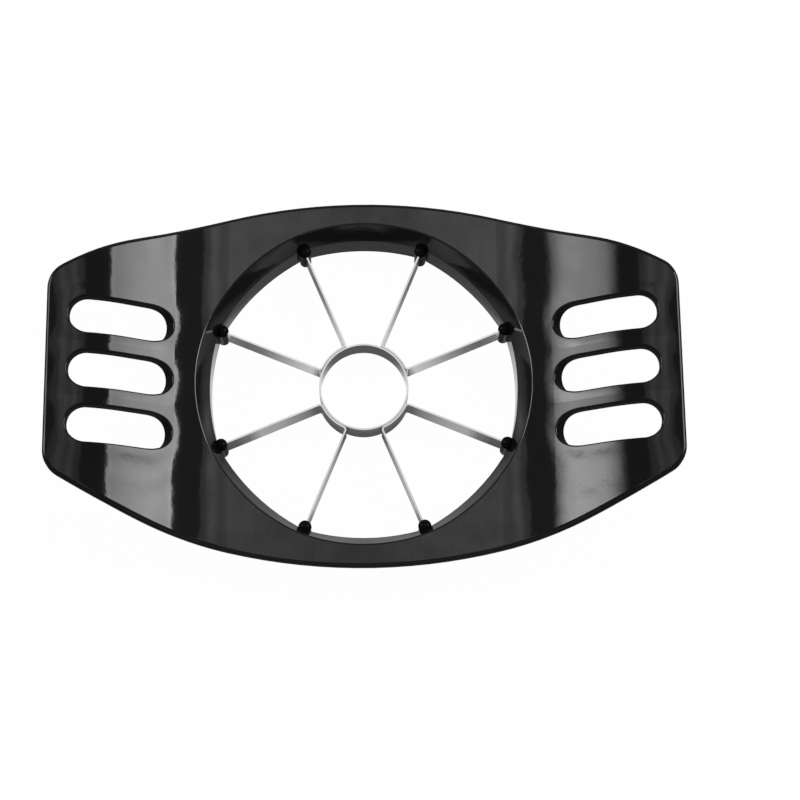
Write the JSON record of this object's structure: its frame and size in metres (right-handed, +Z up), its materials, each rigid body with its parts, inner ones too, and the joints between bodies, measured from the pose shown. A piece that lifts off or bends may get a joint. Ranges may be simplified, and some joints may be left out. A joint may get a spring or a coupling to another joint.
{
  "type": "apple slicer",
  "caption": "Hand-held push-down fruit slicer: a black plastic frame with a raised slotted grip at each end round a mouth of radial steel blades and a steel coring ring.",
  "frame": {"origin": "middle of the ring's lower rim, on the surface that the slicer stands on", "axes": "+Z up, the way the fruit goes in; +X from one grip to the other; +Y across"},
  "size_m": [0.1774, 0.1072, 0.0325],
  "materials": {
    "black_plastic": "moulded, high gloss, black all through",
    "stainless_sheet": "rolled sheet, fine grain along the strip, ground on the lower edge"
  },
  "bodies": {
    "root": {"handle_frame": "black_plastic", "blade_ring": "black_plastic", "corer_ring": "stainless_sheet", "blade_strip_1": "stainless_sheet", "blade_strip_2": "stainless_sheet", "blade_strip_3": "stainless_sheet", "blade_strip_4": "stainless_sheet", "blade_post_1": "black_plastic", "blade_post_2": "black_plastic", "blade_post_3": "black_plastic", "blade_post_4": "black_plastic", "blade_post_5": "black_plastic", "blade_post_6": "black_plastic", "blade_post_7": "black_plastic", "blade_post_8": "black_plastic"}
  },
  "joints": []
}
